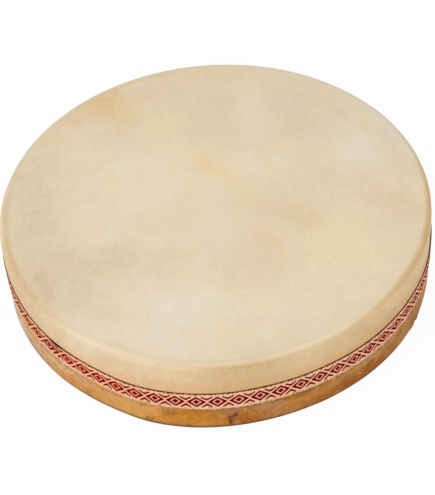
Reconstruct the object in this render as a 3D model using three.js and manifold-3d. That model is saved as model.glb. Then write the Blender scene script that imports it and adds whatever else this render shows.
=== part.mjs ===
// Rain drum: a shallow frame drum with a hide on both sides and loose steel balls inside.
// Millimetres, +Z up. The origin is on the drum's axis, in the plane the lower head rests on.
import * as THREE from "three";
import { mergeVertices } from "three/addons/utils/BufferGeometryUtils.js";
import Module from "manifold-3d";

// Hoop
const HOOP_DIAMETER = 496; // outside, bare wood
const HOOP_DEPTH = 97; // from one bearing edge to the other
const HOOP_WALL = 9;
const BEARING_RADIUS = 3; // outer round of the edge that the hide is drawn over
const BEVEL_DROP = 3.5; // how far the inside of the edge is bevelled away from the hide
const SCARF_LENGTH = 76; // overlap of the strip's two tapered ends, along the bend
const SCARF_NIB = 1.6; // blunt tip left on each tapered end
const SCARF_MIDDLE = THREE.MathUtils.degToRad(118); // direction of the joint, at the back

// Hides and ribbon
const HIDE_THICKNESS = 1.2;
const SEAM_OFFSET = 0.8; // height of the ribbon's middle above the middle of the drum
const SKIRT_GAP = 4; // between the cut edges of the two hides, under the ribbon
const RIBBON_WIDTH = 26.4;
const RIBBON_THICKNESS = 0.8;
const RIBBON_LAP = 22; // length of the ribbon's second end that lies over its first
const RIBBON_RAMP = 14; // length over which that end rises to clear the first
const RIBBON_START = THREE.MathUtils.degToRad(122); // direction of the first end, at the back

// Balls
const BALL_DIAMETER = 6;
const BALL_COUNT = 40;
const SHORTEST_RUN = 77; // roll each way from the middle of the outermost balls' paths

// Clearances and smoothness
const GLUE_LINE = 0.3; // between glued pieces
const BALL_REST_GAP = 0.3; // between a ball and the hide it lies on
const BALL_END_GAP = 0.5; // between a ball and the hoop at the end of its path
const RING_STEPS = 96; // facets round every ring
const ARC_STEPS = 2; // half the facets of a quarter round
const RIBBON_STEPS = 104;

// Sizes that follow
const hoopRadius = HOOP_DIAMETER / 2;
const hoopInside = hoopRadius - HOOP_WALL;
const hideOffset = GLUE_LINE + HIDE_THICKNESS;
const drumDepth = HOOP_DEPTH + 2 * hideOffset;
const skirtRadius = hoopRadius + hideOffset;
const seamHeight = drumDepth / 2 + SEAM_OFFSET;
const ballRadius = BALL_DIAMETER / 2;

const wasm = await Module();
wasm.setup();

// A profile of radius and height, turned about +Z.
function revolve(path) {
  return new THREE.LatheGeometry(path.getPoints(ARC_STEPS), RING_STEPS).rotateX(Math.PI / 2);
}

function toSolid(geometry) {
  const bare = geometry.clone().deleteAttribute("normal").deleteAttribute("uv");
  const merged = mergeVertices(bare, 1e-4);
  return new wasm.Manifold(new wasm.Mesh({
    numProp: 3,
    vertProperties: Float32Array.from(merged.attributes.position.array),
    triVerts: Uint32Array.from(merged.index.array),
  }));
}

function fromSolid(solid) {
  const mesh = solid.getMesh();
  const geometry = new THREE.BufferGeometry();
  geometry.setAttribute("position", new THREE.BufferAttribute(mesh.vertProperties, 3));
  geometry.setIndex(new THREE.BufferAttribute(mesh.triVerts, 1));
  geometry.computeVertexNormals();
  return geometry;
}

function piece(name, geometry, color, roughness, metalness = 0) {
  const mesh = new THREE.Mesh(geometry, new THREE.MeshStandardMaterial({ color, roughness, metalness }));
  mesh.name = name;
  return mesh;
}

// The hoop's section: rounded outside for the hide to slide over, bevelled inside so that the
// stretched hide touches only a narrow crest.
function hoopRing() {
  const crestInside = hoopInside + (HOOP_WALL - BEARING_RADIUS) / 2;
  const arcCentre = hoopRadius - BEARING_RADIUS;
  const section = new THREE.Path();
  section.moveTo(hoopInside, BEVEL_DROP);
  section.lineTo(crestInside, 0);
  section.lineTo(arcCentre, 0);
  section.absarc(arcCentre, BEARING_RADIUS, BEARING_RADIUS, -Math.PI / 2, 0, false);
  section.lineTo(hoopRadius, HOOP_DEPTH - BEARING_RADIUS);
  section.absarc(arcCentre, HOOP_DEPTH - BEARING_RADIUS, BEARING_RADIUS, 0, Math.PI / 2, false);
  section.lineTo(crestInside, HOOP_DEPTH);
  section.lineTo(hoopInside, HOOP_DEPTH - BEVEL_DROP);
  section.lineTo(hoopInside, BEVEL_DROP);
  return revolve(section);
}

// The glue line of the scarf, as a thin curved wall that is cut out of the ring: a long slope
// through the strip's thickness, with a blunt step at the tip of either end.
function scarfKerf() {
  const past = HOOP_WALL;
  const half = SCARF_LENGTH / 2 / hoopRadius;
  const line = GLUE_LINE / hoopRadius;
  const slopeSteps = 16;
  const at = (angle, radius) => new THREE.Vector2(radius * Math.cos(angle), radius * Math.sin(angle));
  const slope = (side) => Array.from({ length: slopeSteps + 1 }, (_, step) => {
    const share = step / slopeSteps;
    const middle = THREE.MathUtils.lerp(hoopRadius - SCARF_NIB, hoopInside + SCARF_NIB, share);
    return at(half * (1 - 2 * share), middle + side * GLUE_LINE / 2);
  });
  const outline = new THREE.Shape([
    at(half + line, hoopRadius + past),
    at(half + line, hoopRadius - SCARF_NIB - GLUE_LINE / 2),
    ...slope(-1),
    at(-half, hoopInside - past),
    at(-half - line, hoopInside - past),
    at(-half - line, hoopInside + SCARF_NIB + GLUE_LINE / 2),
    ...slope(1).reverse(),
    at(half, hoopRadius + past),
  ]);
  const kerf = new THREE.ExtrudeGeometry(outline, { depth: HOOP_DEPTH + 2 * past, bevelEnabled: false });
  return kerf.translate(0, 0, -past).rotateZ(SCARF_MIDDLE);
}

function makeHoop() {
  const ring = toSolid(hoopRing()).subtract(toSolid(scarfKerf()));
  const hoop = piece("hoop", fromSolid(ring), 0xc79a63, 0.7);
  hoop.position.z = hideOffset;
  return hoop;
}

// A hide as a shallow cup, open upward, with its flat face at height 0.
function hideCup(skirtHeight) {
  const outer = BEARING_RADIUS + hideOffset;
  const inner = BEARING_RADIUS + GLUE_LINE;
  const arcCentre = skirtRadius - outer;
  const section = new THREE.Path();
  section.moveTo(0, 0);
  section.lineTo(arcCentre, 0);
  section.absarc(arcCentre, outer, outer, -Math.PI / 2, 0, false);
  section.lineTo(skirtRadius, skirtHeight);
  section.lineTo(skirtRadius - HIDE_THICKNESS, skirtHeight);
  section.lineTo(skirtRadius - HIDE_THICKNESS, outer);
  section.absarc(arcCentre, outer, inner, 0, -Math.PI / 2, true);
  section.lineTo(0, HIDE_THICKNESS);
  return revolve(section);
}

function makeLowerHead() {
  return piece("lower_head", hideCup(seamHeight - SKIRT_GAP / 2), 0xb9803f, 0.55);
}

function makeUpperHead() {
  const head = piece("upper_head", hideCup(drumDepth - seamHeight - SKIRT_GAP / 2), 0xe2d2b0, 0.6);
  head.rotation.x = Math.PI;
  head.position.z = drumDepth;
  return head;
}

// The middle line of the ribbon: once round the hides, then up onto its own first end.
class RibbonLine extends THREE.Curve {
  constructor(radius) {
    super();
    this.radius = radius;
    this.lap = RIBBON_LAP / radius;
    this.ramp = RIBBON_RAMP / radius;
  }

  getPoint(share, target = new THREE.Vector3()) {
    const turn = share * (2 * Math.PI + this.lap);
    const rise = THREE.MathUtils.smoothstep(turn, 2 * Math.PI - this.ramp, 2 * Math.PI);
    const radius = this.radius + rise * (RIBBON_THICKNESS + GLUE_LINE);
    return target.set(radius * Math.cos(turn), radius * Math.sin(turn), 0);
  }
}

function makeRibbon() {
  const line = new RibbonLine(skirtRadius + GLUE_LINE + RIBBON_THICKNESS / 2);
  const tall = RIBBON_WIDTH / 2;
  const thick = RIBBON_THICKNESS / 2;
  const section = new THREE.Shape([
    new THREE.Vector2(-tall, -thick),
    new THREE.Vector2(tall, -thick),
    new THREE.Vector2(tall, thick),
    new THREE.Vector2(-tall, thick),
  ]);
  const strip = new THREE.ExtrudeGeometry(section, { steps: RIBBON_STEPS, extrudePath: line });
  const ribbon = piece("ribbon", strip, 0x8c3a2c, 0.85);
  ribbon.rotation.z = RIBBON_START;
  ribbon.position.z = seamHeight;
  return ribbon;
}

// Each ball rolls on a straight path of its own across the drum, along X. The paths are spread
// evenly over the chamber, and the resting balls are scattered along them.
function makeBalls() {
  const balls = new THREE.Group();
  const reach = hoopInside * Math.cos(Math.PI / RING_STEPS) - ballRadius - BALL_END_GAP;
  const outermost = Math.sqrt(reach ** 2 - SHORTEST_RUN ** 2);
  const goldenShare = (Math.sqrt(5) - 1) / 2;
  const scatter = 0.86; // share of its path that a resting ball may lie on
  for (let lane = 0; lane < BALL_COUNT; lane += 1) {
    const y = outermost * ((2 * lane) / (BALL_COUNT - 1) - 1);
    const run = Math.sqrt(reach ** 2 - y ** 2);
    const x = scatter * run * (2 * ((lane * goldenShare) % 1) - 1);
    const name = `ball_${String(lane + 1).padStart(2, "0")}`;
    const ball = piece(name, new THREE.IcosahedronGeometry(ballRadius, 1), 0xc9ccd0, 0.25, 1);
    ball.position.set(x, y, HIDE_THICKNESS + BALL_REST_GAP + ballRadius);
    balls.add(ball);
  }
  return balls;
}

const drum = new THREE.Group();
drum.add(makeHoop(), makeLowerHead(), makeUpperHead(), makeRibbon(), makeBalls());

export default drum;
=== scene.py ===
# %% [markdown]
# A rain drum: two goat hides folded over a bent-wood hoop, with a woven ribbon
# over the line where they meet and loose steel balls shut inside.
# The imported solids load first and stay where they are. They give every size
# that follows, so a new piece is only ever dressed over the solid it stands for.

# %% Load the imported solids
import math
import random

import bmesh
import bpy
from mathutils import Matrix, Vector


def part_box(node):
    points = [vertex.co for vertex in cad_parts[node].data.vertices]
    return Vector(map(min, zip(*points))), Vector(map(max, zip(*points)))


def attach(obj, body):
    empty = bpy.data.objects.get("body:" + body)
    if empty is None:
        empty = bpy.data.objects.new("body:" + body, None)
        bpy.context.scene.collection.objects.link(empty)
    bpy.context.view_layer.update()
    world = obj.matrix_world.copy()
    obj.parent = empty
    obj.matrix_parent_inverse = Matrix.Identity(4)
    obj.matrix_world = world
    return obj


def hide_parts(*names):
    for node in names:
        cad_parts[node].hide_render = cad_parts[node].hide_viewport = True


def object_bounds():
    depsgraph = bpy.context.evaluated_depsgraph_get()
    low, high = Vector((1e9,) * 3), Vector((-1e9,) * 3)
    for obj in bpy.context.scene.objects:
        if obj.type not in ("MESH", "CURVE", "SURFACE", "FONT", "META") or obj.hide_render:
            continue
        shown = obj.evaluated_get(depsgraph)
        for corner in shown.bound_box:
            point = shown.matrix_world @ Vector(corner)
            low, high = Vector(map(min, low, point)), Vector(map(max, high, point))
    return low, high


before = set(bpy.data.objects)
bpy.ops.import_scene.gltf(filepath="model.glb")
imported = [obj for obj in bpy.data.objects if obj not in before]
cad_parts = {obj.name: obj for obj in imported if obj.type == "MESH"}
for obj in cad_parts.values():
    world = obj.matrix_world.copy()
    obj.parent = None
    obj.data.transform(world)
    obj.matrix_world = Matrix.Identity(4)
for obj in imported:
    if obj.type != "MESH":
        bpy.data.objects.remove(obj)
solid_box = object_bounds()
upper_low, upper_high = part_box("upper_head")
lower_low, lower_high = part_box("lower_head")
ribbon_low, ribbon_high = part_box("ribbon")
print("solids:", len(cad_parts), "height", round(solid_box[1].z - solid_box[0].z, 4))

# %% [markdown]
# The camera stands in front of the drum and looks down at the upper hide, so
# that the hide fills the picture and one arc of the side shows below it.
# A camera could be placed by hand and nudged. Here it is set by a viewing
# angle, a distance and a small roll about the line of sight, which are the
# three things that a photographer decides.

# %% Set the camera
VIEW_DOWN = math.radians(46.29)
VIEW_ROLL = math.radians(-4.35)
VIEW_DISTANCE = 1.8616
VIEW_AIM = Vector((-0.0004, 0, 0.0236))
LENS = 113.54

camera = bpy.data.objects.new("camera", bpy.data.cameras.new("camera"))
bpy.context.scene.collection.objects.link(camera)
camera.data.lens = LENS
away = Vector((0, -math.cos(VIEW_DOWN), math.sin(VIEW_DOWN)))
tilt = Matrix.Rotation(math.pi / 2 - VIEW_DOWN, 4, "X")
roll = Matrix.Rotation(VIEW_ROLL, 4, "Z")
camera.matrix_world = Matrix.Translation(VIEW_AIM + away * VIEW_DISTANCE) @ tilt @ roll
bpy.context.scene.camera = camera
bpy.context.scene.view_settings.view_transform = "Standard"
print("camera at", [round(value, 3) for value in camera.location])

# %% [markdown]
# A material in Blender is a graph of nodes. Wired one by one, a graph of a
# hundred nodes is hard to read, so two small helpers write it as arithmetic.
# Strand wraps one output socket and knows plus, minus, times and so on. Finish
# is the graph of one material, or of the world, and its method node makes any
# node there is: first the node's settings, then the values or strands of its
# sockets.

# %% Helpers that write a material as arithmetic
class Strand:
    def __init__(self, finish, socket):
        self.finish = finish
        self.socket = socket

    def math(self, operation, *others):
        return self.finish.math(operation, self, *others)

    def __add__(self, other):
        return self.math("ADD", other)

    def __sub__(self, other):
        return self.math("SUBTRACT", other)

    def __rsub__(self, other):
        return self.finish.math("SUBTRACT", other, self)

    def __mul__(self, other):
        return self.math("MULTIPLY", other)

    def __truediv__(self, other):
        return self.math("DIVIDE", other)

    def __lt__(self, other):
        return self.math("LESS_THAN", other)

    def __gt__(self, other):
        return self.math("GREATER_THAN", other)

    def __abs__(self):
        return self.math("ABSOLUTE")

    __radd__ = __add__
    __rmul__ = __mul__


class Finish:
    def __init__(self, owner):
        self.owner = owner
        owner.use_nodes = True
        self.tree = owner.node_tree
        self.tree.nodes.clear()

    def node(self, kind, settings, sockets, output=0):
        made = self.tree.nodes.new(kind)
        for name, value in settings.items():
            setattr(made, name, value)
        for name, value in sockets.items():
            if isinstance(value, Strand):
                self.tree.links.new(value.socket, made.inputs[name])
            else:
                made.inputs[name].default_value = value
        return Strand(self, made.outputs[output]) if made.outputs else None

    def math(self, operation, *values):
        return self.node("ShaderNodeMath", {"operation": operation}, dict(enumerate(values)))

    def blend(self, share, first, second, how="MIX"):
        settings = {"data_type": "RGBA", "blend_type": how}
        return self.node("ShaderNodeMix", settings, {0: share, 6: first, 7: second}, 2)

    def fade(self, value, none, full):
        sockets = {"Value": value, "From Min": none, "From Max": full}
        return self.node("ShaderNodeMapRange", {"interpolation_type": "SMOOTHSTEP"}, sockets)

    def vector(self, operation, first, second):
        second_name = "Scale" if operation == "SCALE" else 1
        sockets = {0: first, second_name: second}
        return self.node("ShaderNodeVectorMath", {"operation": operation}, sockets)

    def place(self):
        return self.node("ShaderNodeTexCoord", {}, {}, "Object")

    def split(self, vector):
        axes = ("X", "Y", "Z")
        return [self.node("ShaderNodeSeparateXYZ", {}, {0: vector}, axis) for axis in axes]

    def cloud(self, place, scale, detail=3.0, roughness=0.5, output=0):
        sockets = {"Vector": place, "Scale": scale, "Detail": detail, "Roughness": roughness}
        return self.node("ShaderNodeTexNoise", {}, sockets, output)

    def bump(self, height, depth, below=None):
        sockets = {"Height": height, "Distance": depth, "Strength": 1.0}
        if below:
            sockets["Normal"] = below
        return self.node("ShaderNodeBump", {}, sockets)

    def skin(self, sockets):
        shader = self.node("ShaderNodeBsdfPrincipled", {}, sockets)
        self.show(shader)

    def show(self, shader):
        self.node("ShaderNodeOutputMaterial", {}, {"Surface": shader})


def new_finish(name):
    return Finish(bpy.data.materials.new(name))


def tint(red, green, blue):
    def linear(part):
        share = part / 255
        return share / 12.92 if share <= 0.04045 else ((share + 0.055) / 1.055) ** 2.4
    return (linear(red), linear(green), linear(blue), 1.0)


print("a mid grey of 188 is", round(tint(188, 188, 188)[0], 3), "in light")

# %% [markdown]
# The drum lies on a white sheet of card under soft light. A floor that is only
# white comes out grey next to a white sky, and a floor that only glows shows no
# shadow. So the card is some of each: plain white matt card, and a white glow
# that only the eye and reflections see. The drum's shadow stays, but faint.

# %% Lay the floor and hang the lights
def only_seen(finish):
    sight = finish.node("ShaderNodeLightPath", {}, {}, "Is Camera Ray")
    gloss = finish.node("ShaderNodeLightPath", {}, {}, "Is Glossy Ray")
    glass = finish.node("ShaderNodeLightPath", {}, {}, "Is Transmission Ray")
    return sight.math("MAXIMUM", gloss).math("MAXIMUM", glass)


CARD_SIZE = 12.0
CARD_GLOW = 0.93
CARD_GAP = 0.0002
bpy.ops.object.select_all(action="DESELECT")
bpy.ops.mesh.primitive_plane_add(size=CARD_SIZE, location=(0, 0, solid_box[0].z - CARD_GAP))
floor = bpy.context.object
floor.name = "floor"
bpy.ops.object.transform_apply()
card = new_finish("white_card")
matt = card.node("ShaderNodeBsdfDiffuse", {}, {"Color": tint(246, 246, 246)})
glow = card.node("ShaderNodeEmission", {}, {"Color": (1, 1, 1, 1), "Strength": 1.0})
share = only_seen(card) * CARD_GLOW
card.show(card.node("ShaderNodeMixShader", {}, {0: share, 1: matt, 2: glow}))
floor.data.materials.append(card.owner)

SKY_LIGHT = 0.78
LAMP_POWER = 70.0
LAMP_PLACE = Vector((-2.3, -2.2, 3.6))
LAMP_SIZE = 2.4
world = bpy.data.worlds.new("studio")
bpy.context.scene.world = world
sky = Finish(world)
brightness = SKY_LIGHT + only_seen(sky) * (1 - SKY_LIGHT)
air = sky.node("ShaderNodeBackground", {}, {"Color": (1, 1, 1, 1), "Strength": brightness})
sky.node("ShaderNodeOutputWorld", {}, {"Surface": air})

lamp = bpy.data.objects.new("softbox", bpy.data.lights.new("softbox", "AREA"))
bpy.context.scene.collection.objects.link(lamp)
lamp.data.energy = LAMP_POWER
lamp.data.size = LAMP_SIZE
lamp.location = LAMP_PLACE
lamp.rotation_euler = (-LAMP_PLACE).to_track_quat("-Z", "Y").to_euler()
print("lamp", round(LAMP_PLACE.length, 2), "m away")

# %% [markdown]
# Each hide was put on wet, pulled over the edge of the hoop and glued down its
# side, so it is a wide flat cup with a rounded shoulder. A cup could be turned
# on a lathe with spin, but a hide is easier to follow as its maker works: a
# flat disc, its edge folded down, the fold rounded over, and then rings and
# rows added where the leather has to give a little.

# %% Helpers for working in edit mode
def clear_selection():
    if bpy.context.mode != "OBJECT":
        bpy.ops.object.mode_set(mode="OBJECT")
    bpy.ops.object.select_all(action="DESELECT")


def middle_of(part):
    return sum((corner.co for corner in part.verts), Vector()) / len(part.verts)


def pick(piece, kind, wanted):
    bpy.ops.mesh.select_mode(type=kind)
    bpy.ops.mesh.select_all(action="DESELECT")
    shell = bmesh.from_edit_mesh(piece.data)
    parts = {"VERT": shell.verts, "EDGE": shell.edges, "FACE": shell.faces}[kind]
    for part in parts:
        if wanted(part):
            part.select_set(True)
    bmesh.update_edit_mesh(piece.data)


def face_outwards():
    bpy.ops.object.mode_set(mode="EDIT")
    bpy.ops.mesh.select_all(action="SELECT")
    bpy.ops.mesh.normals_make_consistent(inside=False)
    bpy.ops.object.mode_set(mode="OBJECT")


def apply_modifier(piece, name, kind, **settings):
    modifier = piece.modifiers.new(name, kind)
    for key, value in settings.items():
        setattr(modifier, key, value)
    bpy.context.view_layer.objects.active = piece
    bpy.ops.object.modifier_apply(modifier=name)


# %% Fold a hide over the hoop
HIDE_STEPS = 512
HIDE_RADIUS = upper_high.x
HIDE_THICKNESS = 0.0012
UPPER_SHOULDER = 0.0045
LOWER_SHOULDER = 0.0055
SHOULDER_STEPS = 7
SKIRT_ROWS = 9
FACE_RINGS = 15
SAME_LEVEL = 1e-5
TALL_EDGE = 0.02


def fold_hide(name, face, skirt, shoulder):
    clear_selection()
    bpy.ops.mesh.primitive_circle_add(
        vertices=HIDE_STEPS, radius=HIDE_RADIUS, fill_type="NGON", location=(0, 0, face))
    hide = bpy.context.object
    hide.name = name
    bpy.ops.object.transform_apply()
    bpy.ops.object.mode_set(mode="EDIT")
    pick(hide, "EDGE", lambda edge: True)
    bpy.ops.mesh.extrude_edges_move(TRANSFORM_OT_translate={"value": (0, 0, skirt - face)})
    pick(hide, "EDGE", lambda edge: abs(middle_of(edge).z - face) < SAME_LEVEL)
    bpy.ops.mesh.bevel(offset=shoulder, segments=SHOULDER_STEPS, profile=0.5, affect="EDGES")
    pick(hide, "EDGE", lambda edge: abs(edge.verts[0].co.z - edge.verts[1].co.z) > TALL_EDGE)
    bpy.ops.mesh.subdivide(number_cuts=SKIRT_ROWS)
    ring = (HIDE_RADIUS - shoulder) / (FACE_RINGS + 1)
    for _ in range(FACE_RINGS):
        pick(hide, "FACE", lambda part: len(part.verts) == HIDE_STEPS)
        bpy.ops.mesh.inset(thickness=ring)
    pick(hide, "FACE", lambda part: len(part.verts) == HIDE_STEPS)
    bpy.ops.mesh.poke()
    face_outwards()
    return hide


upper_hide = fold_hide("upper_hide", upper_high.z, upper_low.z, UPPER_SHOULDER)
lower_hide = fold_hide("lower_hide", lower_low.z, lower_high.z, LOWER_SHOULDER)
print("hide faces:", len(upper_hide.data.polygons), len(lower_hide.data.polygons))

# %% [markdown]
# No hide is even. It is thicker along the back of the animal, and it dries with
# shallow hollows on the side. A Displace modifier with a cloud texture gives
# that. It works through a group of weights, which is none under the ribbon and
# none on the lower face, where the balls roll.

# %% Make the hides uneven
UNEVEN_DEPTH = 0.0009
UNEVEN_SIZE = 0.055
RIBBON_CLEAR = 0.012
SIDE_FROM = 0.985


def weigh(piece, name, share):
    group = piece.vertex_groups.new(name=name)
    for corner in piece.data.vertices:
        group.add([corner.index], share(corner.co), "REPLACE")


def side_share(place):
    from_ribbon = max(ribbon_low.z - place.z, place.z - ribbon_high.z, 0.0)
    from_middle = Vector((place.x, place.y)).length / HIDE_RADIUS
    off_ribbon = min(from_ribbon / RIBBON_CLEAR, 1.0)
    return off_ribbon * max(0.0, (from_middle - SIDE_FROM) / (1 - SIDE_FROM))


uneven = bpy.data.textures.new("uneven_hide", "CLOUDS")
uneven.noise_scale = UNEVEN_SIZE
uneven.noise_depth = 1
for hide in (upper_hide, lower_hide):
    weigh(hide, "side", side_share)
    apply_modifier(
        hide, "uneven", "DISPLACE", texture=uneven, texture_coords="OBJECT",
        vertex_group="side", strength=UNEVEN_DEPTH, mid_level=0.5)
print("side unevenness", UNEVEN_DEPTH * 1000, "mm from hollow to crest")

# %% [markdown]
# The lower hide is not drawn quite tight. Left of the front its foot stands off
# the hoop by a few millimetres, and at the right it was gathered where it turns
# under: two lumps with a sharp crease between them, which die away along the
# edge. Nothing in the modelling tools makes that directly, so the points near
# the foot are pushed outwards. How far is a list of places along the side with
# a push at each, joined by one smooth curve.

# %% A smooth curve through a list of places
def smooth(share):
    held = min(max(share, 0.0), 1.0)
    return held * held * (3 - 2 * held)


def on_curve(places, along):
    for before, start, end, after in zip(places, places[1:], places[2:], places[3:]):
        if start[0] <= along <= end[0]:
            span = end[0] - start[0]
            share = (along - start[0]) / span
            leave = span * (end[1] - before[1]) / (end[0] - before[0])
            arrive = span * (after[1] - start[1]) / (after[0] - start[0])
            turn = smooth(share)
            bend = share * (1 - share) * ((1 - share) * leave - share * arrive)
            return (1 - turn) * start[1] + turn * end[1] + bend
    return 0.0


print("half way up a step of 2:", on_curve([(0, 0), (1, 0), (2, 2), (3, 2)], 1.5))

# %% Push out the foot and the pleat, and give the hides their thickness
FOOT_LINE = [
    # distance from the front along the side, push of the foot there
    (-0.260, 0.0), (-0.180, 0.0), (-0.130, 0.0012), (-0.090, 0.0034), (-0.045, 0.0032),
    (0.0, 0.0015), (0.035, 0.0001), (0.075, -0.0006), (0.130, -0.0006), (0.170, 0.0),
    (0.205, 0.0006), (0.235, 0.0010), (0.258, 0.0006), (0.280, 0.0), (0.320, 0.0),
]
FOOT_HEIGHT = 0.030
FOOT_REACH = LOWER_SHOULDER * 1.5
CREASE_ANGLE = math.radians(-28.7)
LUMP_DEPTH = 0.0021
LUMP_TAIL = 0.018
SMALL_LUMP_DEPTH = 0.0016
SMALL_LUMP_PLACE = -0.0085
SMALL_LUMP_SPREAD = 0.0075
LUMP_HEIGHT = 0.012
LUMP_REACH = 0.1


def lump(along):
    if abs(along) > LUMP_REACH:
        return 0.0
    if along > 0:
        return LUMP_DEPTH * math.exp(-along / LUMP_TAIL)
    return SMALL_LUMP_DEPTH * math.exp(-(((along - SMALL_LUMP_PLACE) / SMALL_LUMP_SPREAD) ** 2))


for corner in lower_hide.data.vertices:
    radius = Vector((corner.co.x, corner.co.y)).length
    if radius > HIDE_RADIUS - FOOT_REACH:
        angle = math.atan2(corner.co.y, corner.co.x)
        from_front = (angle + math.pi / 2) * HIDE_RADIUS
        from_crease = (angle - CREASE_ANGLE) * HIDE_RADIUS
        foot = on_curve(FOOT_LINE, from_front) * smooth(1 - corner.co.z / FOOT_HEIGHT)
        pleat = lump(from_crease) * math.exp(-((corner.co.z / LUMP_HEIGHT) ** 2))
        corner.co.x *= 1 + (foot + pleat) / radius
        corner.co.y *= 1 + (foot + pleat) / radius

for hide in (upper_hide, lower_hide):
    apply_modifier(hide, "thickness", "SOLIDIFY", thickness=HIDE_THICKNESS, offset=-1.0)
    bpy.ops.object.shade_smooth()
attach(upper_hide, "drum")
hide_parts("upper_head")
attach(lower_hide, "drum")
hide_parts("lower_head")
print("lumps at the crease", LUMP_DEPTH * 1000, "and", SMALL_LUMP_DEPTH * 1000, "mm deep")

# %% [markdown]
# Scraped goat hide is nearly one cream, with clouds so faint that they are
# felt more than seen, and a few stains along the animal's spine, which crosses
# the head as a slanting line. Painting them would need an image, so each stain
# is a soft spot at a place on the hide. Its edge is frayed by reading the place
# through a cloud, and its colour is broken up by a second, finer cloud.

# %% Helpers for stains
STAIN_EDGE = 1.4
STAIN_FULL = 0.1


def fray(finish, place, scale, reach):
    drift = finish.cloud(place, scale, 5.0, 0.65, "Color")
    drift = finish.vector("SUBTRACT", drift, (0.5, 0.5, 0.5))
    return finish.vector("ADD", place, finish.vector("SCALE", drift, reach))


def stain(finish, colour, across, up, size, slant, shade, strength):
    turned_x = (across * math.cos(slant) + up * math.sin(slant)) / size[0]
    turned_y = (up * math.cos(slant) - across * math.sin(slant)) / size[1]
    reach = (turned_x * turned_x + turned_y * turned_y).math("SQRT")
    share = finish.fade(reach, STAIN_EDGE, STAIN_FULL) * strength
    return finish.blend(share, colour, tint(*shade))


# %% Colour the upper hide
HEAD_STAINS = [
    # what it is, place along X and Y, half width and half height, slant, colour, strength
    ("light middle", -0.065, 0.035, 0.090, 0.080, 0.0, (231, 216, 188), 0.75),
    ("light near edge", 0.045, -0.165, 0.130, 0.060, 0.1, (232, 217, 189), 0.70),
    ("grey at the far right", 0.130, 0.150, 0.075, 0.062, -0.6, (216, 202, 174), 0.75),
    ("dull left edge", -0.212, 0.000, 0.045, 0.170, 0.0, (213, 196, 163), 0.90),
    ("brown band at the left", -0.130, -0.076, 0.095, 0.026, -0.15, (213, 193, 161), 0.70),
    ("grey at the left", -0.165, -0.105, 0.050, 0.036, -0.7, (211, 193, 164), 0.70),
    ("cream at the right", 0.140, -0.095, 0.080, 0.066, -0.4, (233, 217, 181), 0.85),
    ("white bloom", -0.050, -0.160, 0.062, 0.032, -0.15, (232, 220, 202), 0.90),
    ("white by the near edge", -0.075, -0.198, 0.080, 0.026, -0.2, (231, 218, 195), 0.75),
    ("cold white at the right", 0.172, 0.072, 0.030, 0.048, 0.3, (225, 216, 195), 0.70),
    ("cold grey by the right rim", 0.216, 0.080, 0.022, 0.040, 0.2, (218, 206, 187), 0.60),
    ("olive patch", 0.098, 0.122, 0.024, 0.036, 0.0, (219, 203, 168), 0.60),
    ("light by the olive", 0.056, 0.140, 0.026, 0.066, 0.0, (229, 214, 190), 0.70),
    ("dull at the right", 0.122, 0.028, 0.030, 0.050, 0.0, (221, 203, 168), 0.70),
    ("pink along the left rim", -0.172, 0.158, 0.056, 0.026, 0.75, (221, 193, 157), 0.85),
    ("rose beside the amber", -0.072, 0.200, 0.036, 0.024, -0.4, (225, 198, 166), 0.80),
    ("pink along the far rim", -0.010, 0.230, 0.066, 0.016, 0.0, (227, 198, 166), 0.90),
    ("amber by the far rim", -0.119, 0.183, 0.028, 0.046, 0.5, (222, 187, 134), 0.85),
    ("amber along the far rim", -0.142, 0.195, 0.046, 0.012, 0.62, (217, 183, 130), 0.80),
    ("brown at the far rim", -0.058, 0.232, 0.020, 0.011, 0.2, (213, 184, 147), 0.70),
    ("yellow speckle", -0.060, 0.134, 0.042, 0.032, -0.6, (228, 213, 174), 0.75),
    ("light beside the spine", 0.040, 0.062, 0.026, 0.024, -0.8, (232, 217, 191), 0.70),
    ("dull spot", 0.103, 0.066, 0.016, 0.019, 0.0, (217, 199, 163), 0.70),
    ("halo of the spine", 0.012, 0.042, 0.066, 0.018, -0.85, (231, 212, 168), 0.90),
    ("orange on the spine", -0.007, 0.064, 0.024, 0.014, -0.9, (233, 198, 148), 0.85),
    ("rust at the middle", 0.086, -0.028, 0.044, 0.022, -0.5, (223, 193, 152), 0.85),
    ("pink streak", 0.050, -0.084, 0.024, 0.064, 0.05, (228, 201, 168), 0.85),
    ("yellow by the streak", 0.134, -0.080, 0.016, 0.024, -0.4, (229, 214, 170), 0.60),
    ("pink at the right", 0.200, -0.020, 0.052, 0.024, -0.5, (225, 197, 164), 0.80),
    ("pink by the left rim", -0.205, -0.096, 0.024, 0.014, 0.0, (222, 194, 163), 0.75),
    ("brown by the left rim", -0.202, -0.112, 0.046, 0.018, -1.05, (208, 184, 150), 0.75),
    ("white at the near left", -0.148, -0.176, 0.034, 0.018, -0.70, (229, 215, 193), 0.70),
]

pale = new_finish("pale_hide")
spot = pale.place()
frayed = fray(pale, fray(pale, spot, 14.0, 0.050), 80.0, 0.014)
x, y, z = pale.split(spot)
frayed_x, frayed_y, _ = pale.split(frayed)
broad = pale.cloud(spot, 5.0, 3.0, 0.55)
close = pale.cloud(frayed, 26.0, 5.0, 0.62)
broken = 0.55 + pale.fade(pale.cloud(frayed, 45.0, 4.0, 0.65), 0.36, 0.62) * 0.45

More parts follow.
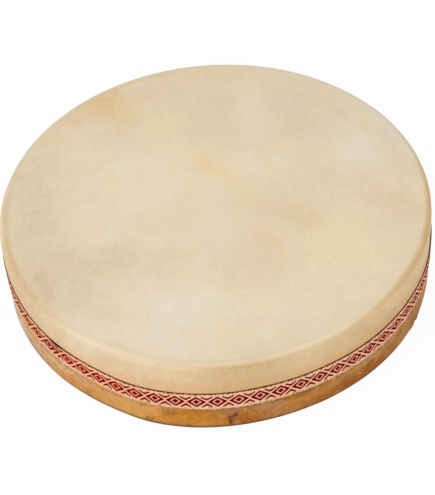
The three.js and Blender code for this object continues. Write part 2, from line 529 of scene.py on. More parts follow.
colour = pale.blend(pale.fade(broad, 0.36, 0.64), tint(228, 213, 184), tint(223, 206, 174))
colour = pale.blend(pale.fade(close, 0.42, 0.70) * 0.35, colour, tint(217, 199, 166))
for _, across, up, width, height, slant, shade, strength in HEAD_STAINS:
    colour = stain(
        pale, colour, frayed_x - across, frayed_y - up, (width, height), slant, shade,
        broken * strength)
patches = pale.cloud(frayed, 24.0, 3.0, 0.6, "Color")
colour = pale.blend(0.09, colour, patches, "OVERLAY")
clouding = pale.cloud(frayed, 55.0, 5.0, 0.7)
colour = pale.blend(0.10, colour, clouding, "OVERLAY")
fibre = pale.cloud(spot, 150.0, 6.0, 0.8)
colour = pale.blend(0.22, colour, fibre, "OVERLAY")
print("stains on the head:", len(HEAD_STAINS))

# %% [markdown]
# Over the edge of the hoop the hide is stretched thin and shows the wood's warm
# tone. The way from the middle, out over the edge and down the side, tells on
# which ring a point lies, and the angle round the drum tells how warm the ring
# is there. So each row of the list is one tone on one ring: full at its middle
# angle, where the front is at -90 degrees, and gone at its spread.

# %% Helpers for tones on a ring
def arc(finish, angle, degrees, spread):
    turn = abs(angle - math.radians(degrees))
    return finish.fade(turn, math.radians(spread), 0.0)


def band(finish, value, place, none, full):
    return finish.fade(abs(value - place), none, full)


def tone_rings(finish, angle, colour, tones):
    for _, ring, degrees, spread, strength, shade in tones:
        share = ring * arc(finish, angle, degrees, spread) * strength
        colour = finish.blend(share, colour, tint(*shade))
    return colour


# %% Warm the rim
EDGE_SHIFTS = [
    # middle angle and spread in degrees, how far the rings move inwards there
    (-68, 15, -0.0006), (-42, 20, 0.0014),
]
INNER_RIM_LINE_PLACE = 0.2385
RIM_SPAN = (0.2360, 0.2425)
LATE_RIM_SPAN = (0.2395, 0.2445)

radius = (x * x + y * y).math("SQRT")
around = y.math("ARCTAN2", x)
over_edge = radius + (upper_high.z - z)
edge_place = over_edge
for degrees, spread, inwards in EDGE_SHIFTS:
    edge_place = edge_place + inwards * arc(pale, around, degrees, spread)
at_far = pale.fade(y, 0.02, 0.12)
patchy = 0.45 + pale.fade(pale.cloud(spot, 48.0, 3.0, 0.6), 0.38, 0.60) * 0.75
even = 0.55 + 0.33 * patchy
inner_rim_line = band(pale, edge_place + (close - 0.5) * 0.008, INNER_RIM_LINE_PLACE, 0.0036, 0.0002)
rim = pale.fade(edge_place, *RIM_SPAN)
late_rim = pale.fade(edge_place, *LATE_RIM_SPAN)
# Painted shade on the far rim, which turns away from the lamp, broken up by the patchy cloud.
far_rim_shade = late_rim * (0.40 + 0.55 * patchy)
RIM_TONES = [
    # what it is, ring, middle angle and spread in degrees, strength, colour
    # Painted shade: this row and the next grey the far rim, where it turns away from the lamp.
    ("grey far rim", far_rim_shade, 120, 90, 1.0, (214, 201, 177)),
    ("cold right rim", rim, 34, 50, 0.85, (217, 207, 190)),
    ("dull left rim", rim, -180, 26, 0.7, (208, 186, 150)),
    ("dull left rim, past the half turn", rim, 180, 26, 0.7, (208, 186, 150)),
    ("patchy tan at the left", rim * patchy, -156, 36, 1.0, (212, 182, 140)),
    # Painted highlight on the rim at the left front, which faces the lamp.
    ("light at the left front", rim, -123, 22, 0.6, (238, 218, 187)),
    # Partly painted shade where the rim at the right turns away from the lamp, partly the wood's warm
    # tone through the hide.
    ("tan at the right", late_rim * even, -24, 34, 0.9, (210, 178, 128)),
    ("brown at the far left", rim, 120, 20, 0.8, (212, 190, 150)),
]
# A faint darker line just inside the rim along the front.
colour = pale.blend(inner_rim_line * arc(pale, around, -92, 60) * 0.26, colour, tint(206, 182, 142))
colour = pale.blend(rim * (1 - at_far) * 0.40, colour, tint(228, 204, 165))
colour = tone_rings(pale, around, colour, RIM_TONES)
print("tones on the rim:", len(RIM_TONES))

# %% [markdown]
# Down the side the glue lets the hide yellow, most of all near the ribbon, and
# wetting and pulling has left faint upright streaks. Here the height takes the
# place of the ring.

# %% Colour the side of the upper hide
FOLD_SPAN = (0.2425, 0.2475)
WALL_LOW = (0.0860, 0.0650)

to_right = pale.fade(x, -0.16, 0.02)
wall = pale.blend(to_right, tint(225, 203, 170), tint(229, 199, 153))
foot = pale.blend(to_right, tint(226, 188, 149), tint(226, 183, 130))
wall = pale.blend(pale.fade(z, *WALL_LOW), wall, foot)
WALL_TONES = [
    # what it is, share at a height, middle angle and spread in degrees, strength, colour
    ("tan at the left", 1.0, -152, 24, 0.80, (211, 179, 139)),
    ("light under the left rim", pale.fade(z, 0.084, 0.096), -124, 22, 0.6, (229, 210, 184)),
    ("brown at the front", 1.0, -86, 19, 0.62, (204, 170, 124)),
    ("yellow at the right", 1.0, -48, 24, 0.3, (208, 172, 114)),
    ("light under the right rim", pale.fade(z, 0.080, 0.092), -44, 14, 0.7, (240, 208, 164)),
]
wall = tone_rings(pale, around, wall, WALL_TONES)
wall = pale.blend(pale.fade(close, 0.42, 0.70) * 0.5, wall, tint(214, 178, 128))
drawn = {"X": around * HIDE_RADIUS, "Y": z * 0.35, "Z": 0.0}
streaks = pale.cloud(pale.node("ShaderNodeCombineXYZ", {}, drawn), 130.0, 5.0, 0.7, "Color")
wall = pale.blend(0.14, wall, streaks, "OVERLAY")
wall = pale.blend(0.22, wall, fibre, "OVERLAY")
# Painted shade: the top of the far wall is greyed where it turns away from the lamp.
far_wall_shade = at_far * pale.fade(z, 0.091, 0.097) * (0.35 + 0.50 * patchy)
wall = pale.blend(far_wall_shade, wall, tint(216, 202, 177))
colour = pale.blend(pale.fade(edge_place, *FOLD_SPAN), colour, wall)
print("tones on the side:", len(WALL_TONES))

# %% [markdown]
# Light and shade on the fold are painted into the hide's colour: painted shade at the right,
# where the fold turns away from the lamp, over the wood's warm tone that shows through there;
# a painted highlight on its crest at the left front and a painted highlight ring inside it;
# and a thin line of painted shade below it. Fine pores and shallow wrinkles are left to a bump.

# %% Mark the fold, and add the pores
FOLD_SHADE_PLACE = 0.2472
CREST_PLACE = 0.2452
INNER_PLACE = 0.2408
SHADE_LINE_PLACE = 0.2494

# Painted shade where the fold turns away from the lamp at the right, over the wood's warm tone that
# shows through the hide there.
fold_shade = band(pale, edge_place + (close - 0.5) * 0.006, FOLD_SHADE_PLACE, 0.0060, 0.0005) * even
# Painted highlights: a light crest at the left front and a lighter ring inside the fold.
crest_highlight = band(pale, over_edge, CREST_PLACE, 0.0038, 0.0004)
inner_highlight_ring = band(pale, over_edge, INNER_PLACE, 0.0045, 0.0005)
# Painted shade: a thin dark line just below the fold at the front.
shade_line = band(pale, over_edge, SHADE_LINE_PLACE, 0.0022, 0.0004)
FOLD_TONES = [
    # what it is, ring, middle angle and spread in degrees, strength, colour
    ("grey bruise", fold_shade, -62, 26, 0.34, (186, 168, 142)),
    ("light bruise", fold_shade, -42, 20, 0.5, (196, 164, 118)),
    ("tan bruise", fold_shade, -18, 36, 0.90, (196, 158, 106)),
    ("end of the bruise", fold_shade, 8, 22, 0.3, (186, 158, 114)),
    ("light crest", crest_highlight, -126, 20, 0.7, (241, 223, 193)),
    ("lighter ring inside", inner_highlight_ring, -68, 16, 0.5, (240, 221, 184)),
    ("shade_line", shade_line, -85, 15, 0.5, (188, 148, 96)),
]
colour = tone_rings(pale, around, colour, FOLD_TONES)
flecks = pale.fade(pale.cloud(spot, 420.0, 2.0, 0.6), 0.60, 0.72)
colour = pale.blend(flecks * 0.18, colour, tint(196, 172, 134))
glue = pale.fade(pale.cloud(spot, 330.0, 3.0, 0.6), 0.48, 0.66)
by_ribbon = pale.fade(z, 0.0760, 0.0660) * glue
colour = pale.blend(by_ribbon * 0.45, colour, tint(222, 158, 112))

pores = pale.cloud(spot, 900.0, 3.0, 0.6)
wrinkles = pale.cloud(frayed, 75.0, 4.0, 0.6)
surface = pale.bump(wrinkles, 0.0006)
surface = pale.bump(pores, 0.00015, surface)
pale.skin({
    "Base Color": colour, "Roughness": 0.46 + 0.16 * close, "Normal": surface,
    "Specular IOR Level": 0.2})
upper_hide.data.materials.append(pale.owner)
print("pale hide nodes:", len(pale.tree.nodes))

# %% [markdown]
# The lower hide was left with more of its own colour, and smoke and oil have
# made it amber. It is lighter at the left, browner to the right, and blotched
# all over. A dark knot with a crease under it sits at the front. Here the
# stains are placed along the side and up it, as on a strip laid flat.

# %% Colour the lower hide
SIDE_STAINS = [
    # what it is, place along the side and up it, half length and half height, slant, colour, strength
    ("light tan at the far left", -0.205, 0.029, 0.060, 0.011, 0.0, (218, 180, 134), 0.75),
    ("dull far left", -0.264, 0.012, 0.046, 0.016, 0.0, (184, 150, 118), 0.85),
    ("grey at the far left", -0.312, 0.026, 0.034, 0.030, 0.0, (208, 182, 158), 0.85),
    ("gold at the left", -0.160, 0.014, 0.040, 0.011, 0.0, (205, 147, 80), 0.70),
    ("light gold", -0.088, 0.014, 0.036, 0.012, 0.0, (213, 155, 76), 0.75),
    ("honey", -0.124, 0.013, 0.022, 0.010, 0.0, (204, 144, 64), 0.60),
    ("orange", -0.045, 0.016, 0.040, 0.013, 0.0, (197, 125, 30), 0.75),
    ("yellow spot", -0.030, 0.009, 0.014, 0.005, 0.2, (206, 152, 58), 0.60),
    ("rust by the knot", 0.026, 0.013, 0.020, 0.009, 0.1, (183, 110, 40), 0.70),
    ("grey by the knot", 0.002, 0.031, 0.020, 0.006, 0.0, (184, 138, 98), 0.55),
    ("ash under the ribbon", 0.043, 0.028, 0.022, 0.008, -0.2, (195, 155, 114), 0.75),
    ("dun by the rust", 0.047, 0.013, 0.018, 0.009, 0.0, (184, 132, 84), 0.55),
    ("olive spot", 0.103, 0.010, 0.008, 0.007, 0.0, (180, 128, 26), 0.70),
    ("dark rust", 0.145, 0.013, 0.075, 0.010, 0.0, (154, 83, 6), 0.80),
    ("light tan at the right", 0.180, 0.031, 0.066, 0.006, 0.0, (206, 158, 100), 0.75),
    ("tan at the far right", 0.245, 0.014, 0.035, 0.012, 0.0, (186, 136, 86), 0.70),
]

amber = new_finish("amber_hide")
spot = amber.place()
frayed = fray(amber, spot, 60.0, 0.022)
x, _, z = amber.split(spot)
frayed_x, frayed_y, frayed_z = amber.split(frayed)
around = frayed_y.math("ARCTAN2", frayed_x)
along = (around + math.pi / 2) * HIDE_RADIUS
blotch = amber.cloud(spot, 15.0, 5.0, 0.62)
mottle = amber.cloud(frayed, 60.0, 5.0, 0.65)
grain = amber.cloud(spot, 300.0, 4.0, 0.65)
to_right = amber.fade(x, -0.16, 0.02)
blotched = amber.fade(blotch, 0.40, 0.60)
left_tone = amber.blend(blotched, tint(217, 164, 104), tint(203, 141, 70))
right_tone = amber.blend(blotched, tint(194, 133, 62), tint(170, 103, 28))
colour = amber.blend(to_right, left_tone, right_tone)
for _, place, up, length, height, slant, shade, strength in SIDE_STAINS:
    colour = stain(
        amber, colour, along - place, frayed_z - up, (length, height), slant, shade, strength)
colour = amber.blend(amber.fade(mottle, 0.52, 0.70) * 0.60, colour, tint(138, 80, 22))
colour = amber.blend(amber.fade(mottle, 0.46, 0.30) * 0.50, colour, tint(222, 166, 86))
hair = amber.cloud(spot, 190.0, 6.0, 0.75, "Color")
colour = amber.blend(0.35, colour, hair, "OVERLAY")
hair_shade = amber.cloud(spot, 150.0, 6.0, 0.75)
colour = amber.blend(0.40, colour, hair_shade, "OVERLAY")
# Dark flecks just under the ribbon, with painted shade where the ribbon's edge stands off the hide.
flecks_and_shade_under_ribbon = amber.fade(z, 0.022, 0.036) * amber.fade(grain, 0.44, 0.60)
colour = amber.blend(flecks_and_shade_under_ribbon * 0.62, colour, tint(108, 84, 46))
# Painted shade along the foot, where the hide turns under towards the floor.
foot_shade = amber.fade(z, 0.0095, 0.0035)
colour = amber.blend(foot_shade * 0.84, colour, tint(92, 68, 44))
print("stains on the lower hide:", len(SIDE_STAINS))

# %% [markdown]
# The knot is where a wound healed on the animal: a few dark spots that run
# together, a pale scar over them and a thin dark line down to the edge. Each is
# a small stain of its own, frayed much more finely than the broad ones.

# %% Add the knot
KNOT_SPOTS = [
    # what it is, place along the side and up it, half length and half height, slant, colour, strength
    ("pale scar above", 0.0036, 0.0285, 0.0065, 0.0050, 0.0, (160, 118, 92), 0.75),
    ("brown round the spots", 0.0026, 0.0160, 0.0056, 0.0078, -0.2, (146, 88, 48), 0.65),
    ("light by the line", 0.0052, 0.0095, 0.0040, 0.0036, 0.0, (198, 142, 94), 0.65),
    ("middle spot", 0.0020, 0.0178, 0.0044, 0.0050, 0.6, (122, 70, 48), 0.85),
    ("right spot", 0.0056, 0.0212, 0.0036, 0.0028, 0.25, (82, 40, 26), 0.95),
    ("left spot", -0.0014, 0.0174, 0.0022, 0.0024, 0.0, (98, 48, 24), 0.85),
    ("low spot", -0.0003, 0.0118, 0.0026, 0.0034, 0.0, (102, 42, 8), 0.95),
    ("dark line", -0.0005, 0.0078, 0.0012, 0.0042, 0.0, (98, 54, 24), 0.85),
]
near = fray(amber, spot, 170.0, 0.007)
near_x, near_y, near_z = amber.split(near)
near_along = (near_y.math("ARCTAN2", near_x) + math.pi / 2) * HIDE_RADIUS
for _, place, up, length, height, slant, shade, strength in KNOT_SPOTS:
    colour = stain(
        amber, colour, near_along - place, near_z - up, (length, height), slant, shade, strength)
wrinkles = amber.cloud(spot, 95.0, 5.0, 0.65)
surface = amber.bump(wrinkles, 0.0011)
surface = amber.bump(grain, 0.0003, surface)
amber.skin({
    "Base Color": colour, "Roughness": 0.42 + 0.22 * mottle, "Normal": surface,
    "Specular IOR Level": 0.08})
lower_hide.data.materials.append(amber.owner)
print("amber hide nodes:", len(amber.tree.nodes))

# %% [markdown]
# The ribbon is woven flat and then glued round the drum over the line where the
# hides meet. It is made the same way here: a long flat grid, a little
# thickness, a map of where each thread lies, and only then the wrapping. The
# map is drawn while the ribbon is flat, so wrapping can't stretch the pattern.
# It slips by a few millimetres, as in a ribbon pulled by hand, and it misses at
# the left front, where two lengths seem to be joined.

# %% Weave the flat ribbon
RIBBON_WIDTH = ribbon_high.z - ribbon_low.z
RIBBON_THICKNESS = 0.0008
RIBBON_REACH = 0.2506
RIBBON_LAP = 0.022
RIBBON_RAMP = 0.014
RIBBON_START = math.radians(122)
RIBBON_COLUMNS = 960
RIBBON_ROWS = 18
MOTIF_PITCH = 0.02298
MOTIF_OFFSET = 0.0103
MOTIF_RISE = 0.0002
JOIN = -0.2155
JOIN_STEP = 0.0074
MOTIF_DRIFT = [
    # distance from the front along the side, how far the pattern has slipped there
    (-0.800, 0.0074), (-0.700, 0.0074), (-0.300, 0.0074), (-0.280, 0.0062), (-0.260, 0.0049),
    (-0.240, 0.0039), (-0.2155, 0.0036), (-0.193, 0.0033), (-0.170, 0.0026), (-0.149, 0.0015),
    (-0.127, 0.0004), (-0.100, 0.0), (0.080, -0.0002), (0.150, -0.0010), (0.200, -0.0004),
    (0.240, 0.0), (0.300, 0.0),
]

ribbon_length = 2 * math.pi * RIBBON_REACH + RIBBON_LAP
front_start = RIBBON_REACH * (math.radians(270) - RIBBON_START)
clear_selection()
bpy.ops.mesh.primitive_grid_add(
    x_subdivisions=RIBBON_COLUMNS, y_subdivisions=RIBBON_ROWS, size=1.0)
ribbon = bpy.context.object
ribbon.name = "woven_ribbon"
bpy.ops.object.mode_set(mode="EDIT")
bpy.ops.mesh.select_all(action="SELECT")
bpy.ops.transform.resize(value=(ribbon_length, RIBBON_WIDTH, 1.0))
bpy.ops.object.mode_set(mode="OBJECT")
apply_modifier(ribbon, "thickness", "SOLIDIFY", thickness=RIBBON_THICKNESS, offset=-1.0)
weave = ribbon.data.uv_layers[0]
weave.name = "weave"
for face in ribbon.data.polygons:
    past_join = face.center.x + ribbon_length / 2 - front_start > JOIN
    for index in face.loop_indices:
        flat = ribbon.data.vertices[ribbon.data.loops[index].vertex_index].co
        along = flat.x + ribbon_length / 2 - front_start
        slipped = on_curve(MOTIF_DRIFT, along) - (0.0 if past_join else JOIN_STEP)
        drawn_x = along - slipped - MOTIF_OFFSET
        weave.data[index].uv = (drawn_x / MOTIF_PITCH, (flat.y - MOTIF_RISE) / MOTIF_PITCH)
print("flat ribbon", round(ribbon_length, 4), "by", round(RIBBON_WIDTH, 4), "m")

# %% [markdown]
# A hand-laid ribbon does not run quite level. Seen from the front it starts
# high at the left, dips before the middle, rises again and falls at the far
# right, and just behind that it is rucked and a little thicker. A few heights
# round the drum, joined by the smooth curve, give that line. At the back the
# end climbs over the start, which is the lap.

# %% Wrap the ribbon round the drum
RIBBON_LINE = [
    # distance from the front along the side, lift of the ribbon there
    (-0.600, 0.0), (-0.520, 0.0), (-0.420, 0.0040), (-0.320, 0.0084), (-0.280, 0.0056),
    (-0.230, 0.0030), (-0.157, 0.0004), (-0.105, -0.0049), (-0.048, -0.0047), (0.0, -0.0031),
    (0.038, -0.0007), (0.105, 0.0007), (0.190, -0.0010), (0.255, -0.0026), (0.285, -0.0050),
    (0.315, -0.0078), (0.420, -0.0020), (0.520, 0.0), (0.600, 0.0),
]
LAP_RISE = 0.0011
EDGE_SOFTNESS = 0.0006
EDGE_ROUND = 0.0015
RUCK_DEPTH = 0.0010
RUCK_PLACE = 0.376
RUCK_SPREAD = 0.055

lap_start = ribbon_length - RIBBON_LAP
middle = (ribbon_low.z + ribbon_high.z) / 2


def wrap(piece, softness):
    for corner in piece.data.vertices:
        run = corner.co.x + ribbon_length / 2
        raised = smooth((run - lap_start + RIBBON_RAMP) / RIBBON_RAMP)
        from_edge = RIBBON_WIDTH / 2 - abs(corner.co.y)
        rounded = softness * (1 - smooth(from_edge / EDGE_ROUND))
        ruck = RUCK_DEPTH * smooth(1 - abs(run - front_start - RUCK_PLACE) / RUCK_SPREAD)
        outside = ruck - rounded if corner.co.z > -RIBBON_THICKNESS / 2 else 0.0
        reach = RIBBON_REACH + corner.co.z + raised * LAP_RISE + outside
        turn = RIBBON_START + run / RIBBON_REACH
        lift = on_curve(RIBBON_LINE, run - front_start)
        corner.co = (reach * math.cos(turn), reach * math.sin(turn), middle + corner.co.y + lift)


wrap(ribbon, EDGE_SOFTNESS)
clear_selection()
ribbon.select_set(True)
bpy.context.view_layer.objects.active = ribbon
face_outwards()
bpy.ops.object.shade_smooth()
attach(ribbon, "drum")
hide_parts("ribbon")
print("ribbon triangles:", sum(len(face.vertices) - 2 for face in ribbon.data.polygons))

# %% [markdown]
# A cream thread is sewn along both borders, and at the lower edge it stands out
# from the cloth in small uneven loops. One loop is half a ring, cut from a torus
# with bisect. An Array modifier sets it out along the flat edge. By chance one
# loop in five is left out, and the others are slipped and stretched a little,
# from a fixed seed so that every run gives the same edge. The row is then
# wrapped round the drum as the ribbon was.

# %% Loop the lower edge
LOOP_PITCH = MOTIF_PITCH / 7
LOOP_RADIUS = 0.0006
LOOP_THREAD = 0.0004
LOOP_SLIP = 0.0009
LOOP_STEPS = 12
LOOP_SIDES = 6
LOOP_SEED = 7
LOOP_STRETCHES = (0.0, 0.5, 0.7, 0.9, 1.1)
LOOP_THROWS = 600

clear_selection()
bpy.ops.mesh.primitive_torus_add(
    major_radius=LOOP_RADIUS, minor_radius=LOOP_THREAD,
    major_segments=LOOP_STEPS, minor_segments=LOOP_SIDES)
loops = bpy.context.object
loops.name = "edge_loops"
bpy.ops.object.mode_set(mode="EDIT")
bpy.ops.mesh.select_all(action="SELECT")
bpy.ops.mesh.bisect(plane_co=(0, 0, 0), plane_no=(0, 1, 0), use_fill=True, clear_outer=True)
bpy.ops.mesh.select_all(action="SELECT")
first_loop = (front_start + MOTIF_OFFSET) % LOOP_PITCH - ribbon_length / 2
bpy.ops.transform.translate(value=(first_loop, -RIBBON_WIDTH / 2, -RIBBON_THICKNESS / 2))
bpy.ops.object.mode_set(mode="OBJECT")
loop_count = int((ribbon_length - LOOP_PITCH) / LOOP_PITCH)
apply_modifier(
    loops, "row", "ARRAY", count=loop_count, use_relative_offset=False,
    use_constant_offset=True, constant_offset_displace=(LOOP_PITCH, 0, 0))
dice = random.Random(LOOP_SEED)
throws = [
    (dice.uniform(-LOOP_SLIP, LOOP_SLIP), dice.choice(LOOP_STRETCHES))
    for _ in range(LOOP_THROWS)
]


def thrown(corner):
    return throws[round((corner.co.x - first_loop) / LOOP_PITCH)]


bpy.ops.object.mode_set(mode="EDIT")
pick(loops, "VERT", lambda corner: thrown(corner)[1] == 0.0)
bpy.ops.mesh.delete(type="VERT")
bpy.ops.object.mode_set(mode="OBJECT")
for corner in loops.data.vertices:
    slip, stretch = thrown(corner)
    corner.co.x += slip
    corner.co.y = -RIBBON_WIDTH / 2 + (corner.co.y + RIBBON_WIDTH / 2) * stretch
wrap(loops, 0.0)
face_outwards()
bpy.ops.object.shade_smooth()
twine = new_finish("cream_thread")
strands = twine.cloud(twine.place(), 1500.0, 2.0, 0.6)
colour = twine.blend(twine.fade(strands, 0.40, 0.65), tint(248, 222, 178), tint(206, 168, 118))
twine.skin({
    "Base Color": colour, "Roughness": 0.72 + 0.16 * strands, "Normal": twine.bump(strands, 0.0001),
    "Specular IOR Level": 0.05})
loops.data.materials.append(twine.owner)
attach(loops, "drum")
print("loop triangles:", sum(len(face.vertices) - 2 for face in loops.data.polygons))

# %% [markdown]
# The pattern is a row of dark red diamonds, each with a pink ring in it, between
# pink lattice bars, with small dark chevrons in the gaps and cream borders of
# short uneven stitches, bleached in places. Along the top runs a dark line with
# uneven teeth. A weaver draws all this on squared paper, one square to a thread,
# so the place on the map is first rounded to threads and the shapes are then
# measured in millimetres from the middle of a diamond.

# %% Measure out the pattern
THREAD = 0.5745
PITCH = MOTIF_PITCH * 1000
DIAMOND = (10.9, 8.7)
RING = (6.2, 5.6)
CORE = (3.6, 3.6)
LOW_STRETCH = 0.045
RIGHT_SHRINK = 0.03
# where a chevron runs and how thick it is: millimetres in the middle of a gap,
# and change for each millimetre away from it, then what the lower ones add
CHEVRON_LINE = (4.1, 0.67)
CHEVRON_HALF = (1.8, -0.10)
LOW_CHEVRON_LINE = (0.15, 0.15)
LOW_CHEVRON_HALF = (0.35, -0.07)
CHEVRON_REACH = 6.2
LOW_CHEVRON_REACH = 0.5
BORDER = 9.0
STITCH_ROWS = [
    # whether it is in the top border, distance from the middle of the ribbon, half height,
    # stitches to a motif, share of a stitch that shows
    (1, 10.6, 1.0, 7, 0.58), (1, 9.1, 0.4, 14, 0.45),
    (0, 9.9, 0.6, 6, 0.60), (0, 11.2, 0.7, 7, 0.60), (0, 12.5, 0.8, 7.5, 0.66),
]
STITCH_WANDER = 3.0
STITCH_STAGGER = 0.37
STITCH_MISSED = 0.20

cloth = new_finish("ribbon_weave")
drawn = cloth.node("ShaderNodeUVMap", {"uv_map": "weave"}, {})
along, across, _ = cloth.split(drawn)
along = along * PITCH
across = across * PITCH
thread_x = (along / THREAD).math("FLOOR")
thread_y = (across / THREAD).math("FLOOR")
square_x = (thread_x + 0.5) * THREAD
square_y = (thread_y + 0.5) * THREAD
from_gap = abs((square_x + PITCH).math("FLOORED_MODULO", PITCH) - PITCH / 2)
from_diamond = PITCH / 2 - from_gap
high = abs(square_y)
top_half = square_y > 0.0
low_half = 1 - top_half
x, y, _ = cloth.split(cloth.place())
left_end = cloth.fade(x, -0.05, -0.18)
right_end = cloth.fade(x, 0.05, 0.18)


def diamond(size):
    tall = size[1] + size[1] * LOW_STRETCH * low_half
    return from_diamond / size[0] + high / tall < 1.0 - RIGHT_SHRINK * right_end


def chance(first, second):
    pair = cloth.node("ShaderNodeCombineXYZ", {}, {"X": first, "Y": second})
    return cloth.node("ShaderNodeTexWhiteNoise", {"noise_dimensions": "2D"}, {"Vector": pair})


def stitches(at_top, row, half, count, shown):
    lane = (along + (wander - 0.5) * STITCH_WANDER) * (count / PITCH) + STITCH_STAGGER * row
    inside = abs(lane.math("FRACT") - 0.5) < shown / 2
    missed = chance(lane.math("FLOOR"), row) < STITCH_MISSED
    side = top_half if at_top else low_half
    return inside * (abs(high - row) < half) * (1 - missed) * side


def from_the_gap(start, change):
    return start + change * from_gap


chevron_line = from_the_gap(*CHEVRON_LINE) + low_half * from_the_gap(*LOW_CHEVRON_LINE)
chevron_half = from_the_gap(*CHEVRON_HALF) + low_half * from_the_gap(*LOW_CHEVRON_HALF)
chevron = abs(high - chevron_line) < chevron_half
chevron = chevron * (from_gap < CHEVRON_REACH - LOW_CHEVRON_REACH * low_half)
above = high > chevron_line
border = high > BORDER
print("threads to a diamond:", round(DIAMOND[0] * 2 / THREAD))

# %% [markdown]
# With the shapes measured, the colours are laid one over the other, as the
# threads float over each other in the cloth. The reds and pinks shift a little
# from the left end to the right.

# %% Colour the pattern
TOP_LINE = (11.4, 11.9)
TOP_LINE_SHARES = (0.45, 0.55)
TOOTH_DEPTH = 1.3
TOOTH_ROW = 5.0
FAR_RIGHT_LINE = 1.4
JOIN_MARK = (-210.0, 13.0)
JOIN_MARK_SIZE = (13.0, 6.0)

colour = cloth.blend(above, tint(255, 187, 157), tint(255, 197, 163))
ground = cloth.blend(top_half, tint(222, 152, 106), tint(232, 163, 132))
colour = cloth.blend(border, colour, ground)
wander = cloth.cloud(drawn, 2.0)
bleached = cloth.fade(cloth.cloud(drawn, 1.3, 2.0), 0.46, 0.60)
stitch_tone = cloth.blend(bleached, tint(250, 214, 172), tint(255, 236, 202))
for row in STITCH_ROWS:
    colour = cloth.blend(stitches(*row), colour, stitch_tone)
brown = cloth.blend(top_half, tint(108, 36, 4), tint(104, 30, 2))
colour = cloth.blend(chevron, colour, brown)
far_left = cloth.fade(x, -0.15, -0.22)
red = cloth.blend(left_end, tint(97, 2, 0), tint(124, 2, 0))
red = cloth.blend(far_left, red, tint(76, 2, 0))
bright_red = cloth.blend(left_end, tint(108, 8, 0), tint(134, 6, 0))
bright_red = cloth.blend(far_left, bright_red, tint(86, 2, 0))
colour = cloth.blend(diamond(DIAMOND), colour, red)
ring = cloth.blend(left_end, tint(255, 165, 144), tint(252, 147, 123))
colour = cloth.blend(diamond(RING), colour, ring)
colour = cloth.blend(diamond(CORE), colour, bright_red)
warm = cloth.fade(x, 0.0, -0.14)
colour = cloth.blend(warm * (1 - 0.6 * border), colour, (1.0, 0.87, 0.80, 1.0), "MULTIPLY")
far_right = cloth.fade(x, 0.225, 0.243)
tooth = (chance((thread_x / 2).math("FLOOR"), TOOTH_ROW) - 0.5) * TOOTH_DEPTH
teeth = square_y + tooth + far_right * FAR_RIGHT_LINE
top_line = (teeth > TOP_LINE[0]) * TOP_LINE_SHARES[0] + (teeth > TOP_LINE[1]) * TOP_LINE_SHARES[1]
colour = cloth.blend(top_line, colour, tint(98, 44, 2))
side_place = (y.math("ARCTAN2", x) + math.pi / 2) * RIBBON_REACH * 1000
colour = stain(
    cloth, colour, side_place - JOIN_MARK[0], across - JOIN_MARK[1], JOIN_MARK_SIZE,
    0.0, (52, 8, 0), 1.0)
print("rows of stitches:", len(STITCH_ROWS))

# %% [markdown]
# Close up each square is one float of thread. It is rounded, so its middle stands up in a bump,
# its edges are darkened with painted shade, and no two floats took the dye alike.

# %% Give the threads their roundness
ROUND_ALONG = 3.2
ROUND_ACROSS = 0.9
CROWN_LIGHT = 0.14
DYE_SPREAD = 0.14

cell_x = (along / THREAD).math("FRACT") - 0.5
cell_y = (across / THREAD).math("FRACT") - 0.5
crown = 1 - ROUND_ALONG * cell_x * cell_x - ROUND_ACROSS * cell_y * cell_y
dye = chance(thread_x, thread_y)
# Painted shade at each float's edges from its crown, mixed with the float's own dye.
value = 0.90 + CROWN_LIGHT * crown + DYE_SPREAD * (dye - 0.5)
shade = cloth.node("ShaderNodeCombineColor", {}, {0: value, 1: value, 2: value})
colour = cloth.blend(1.0, colour, shade, "MULTIPLY")
cloth.skin({
    "Base Color": colour, "Roughness": 0.74, "Normal": cloth.bump(crown, 0.00010),
    "Specular IOR Level": 0.0})
ribbon.data.materials.append(cloth.owner)
print("ribbon nodes:", len(cloth.tree.nodes))

# %% [markdown]
# The steel balls make the sound of rain. They are shut inside and never seen
# whole, but they roll in every pose, so each solid gets a smooth ball with the
# narrow band that grinding leaves round it. One is modelled, the rest are
# copies, and each copy rides on its own body.

# %% Make the balls
BALL_SEGMENTS = 24
BALL_RINGS = 14
BAND_DEPTH = 0.00004
BAND_HALF = 0.25
BAND_EDGE = 0.06

ball_nodes = sorted(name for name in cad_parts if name.startswith("ball_"))
ball_low, ball_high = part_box(ball_nodes[0])
ball_radius = (ball_high.z - ball_low.z) / 2
clear_selection()
bpy.ops.mesh.primitive_uv_sphere_add(
    segments=BALL_SEGMENTS, ring_count=BALL_RINGS, radius=ball_radius)
first_ball = bpy.context.object
bpy.ops.object.mode_set(mode="EDIT")
pick(first_ball, "FACE", lambda face: abs(middle_of(face).z) < ball_radius * BAND_HALF)
bpy.ops.mesh.inset(thickness=ball_radius * BAND_EDGE, depth=-BAND_DEPTH)
bpy.ops.object.mode_set(mode="OBJECT")
bpy.ops.object.shade_smooth()

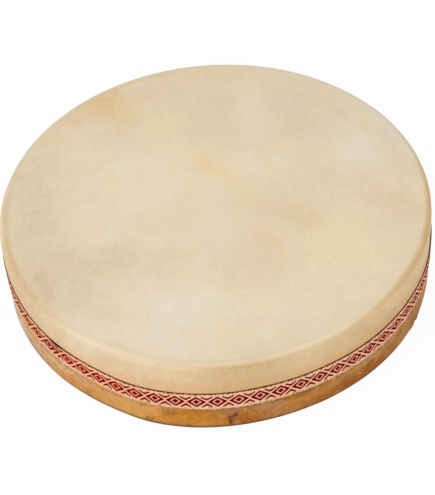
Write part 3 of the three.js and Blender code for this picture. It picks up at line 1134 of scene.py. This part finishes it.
steel = new_finish("ball_steel")
spot = steel.place()
scratch = steel.cloud(spot, 1800.0, 3.0, 0.7)
dull = steel.cloud(spot, 240.0, 2.0, 0.5)
colour = steel.blend(dull, tint(196, 198, 200), tint(160, 163, 168))
steel.skin({
    "Base Color": colour, "Metallic": 1.0, "Roughness": 0.16 + 0.18 * scratch,
    "Normal": steel.bump(scratch, 0.00002)})
first_ball.data.materials.append(steel.owner)

for name in ball_nodes:
    low, high_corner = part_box(name)
    ball = first_ball.copy()
    ball.data = first_ball.data.copy()
    ball.name = name.replace("ball", "steel_ball")
    bpy.context.scene.collection.objects.link(ball)
    ball.data.transform(Matrix.Translation((low + high_corner) / 2))
    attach(ball, name)
    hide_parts(name)
bpy.data.objects.remove(first_ball)
print("balls:", len(ball_nodes), "of", round(ball_radius * 2000, 2), "mm")

# %% [markdown]
# The hoop is one strip of ash, steamed, bent and glued on a long slant. Its
# solid already has the right shape, so it stays and only gets its wood. The
# grain runs round the hoop, so the texture is read by the angle, the height
# and the depth of the wall instead of by X, Y and Z.

# %% Give the hoop its wood
GRAIN_ALONG = 0.35
GRAIN_ACROSS = 14.0

wood = new_finish("hoop_wood")
x, y, z = wood.split(wood.place())
around = y.math("ARCTAN2", x)
depth = (x * x + y * y).math("SQRT")
bent = wood.node("ShaderNodeCombineXYZ", {}, {
    "X": around * GRAIN_ALONG, "Y": z * GRAIN_ACROSS, "Z": depth * GRAIN_ACROSS})
rings = wood.cloud(bent, 9.0, 5.0, 0.62)
fibre = wood.cloud(bent, 60.0, 3.0, 0.6)
colour = wood.blend(wood.fade(rings, 0.35, 0.65), tint(216, 184, 138), tint(186, 146, 98))
colour = wood.blend(wood.fade(fibre, 0.55, 0.70) * 0.5, colour, tint(142, 102, 62))
wood.skin({
    "Base Color": colour, "Roughness": 0.55 + 0.15 * fibre, "Normal": wood.bump(fibre, 0.0002)})
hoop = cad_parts["hoop"]
hoop.data.materials.clear()
hoop.data.materials.append(wood.owner)
print("hoop nodes:", len(wood.tree.nodes))
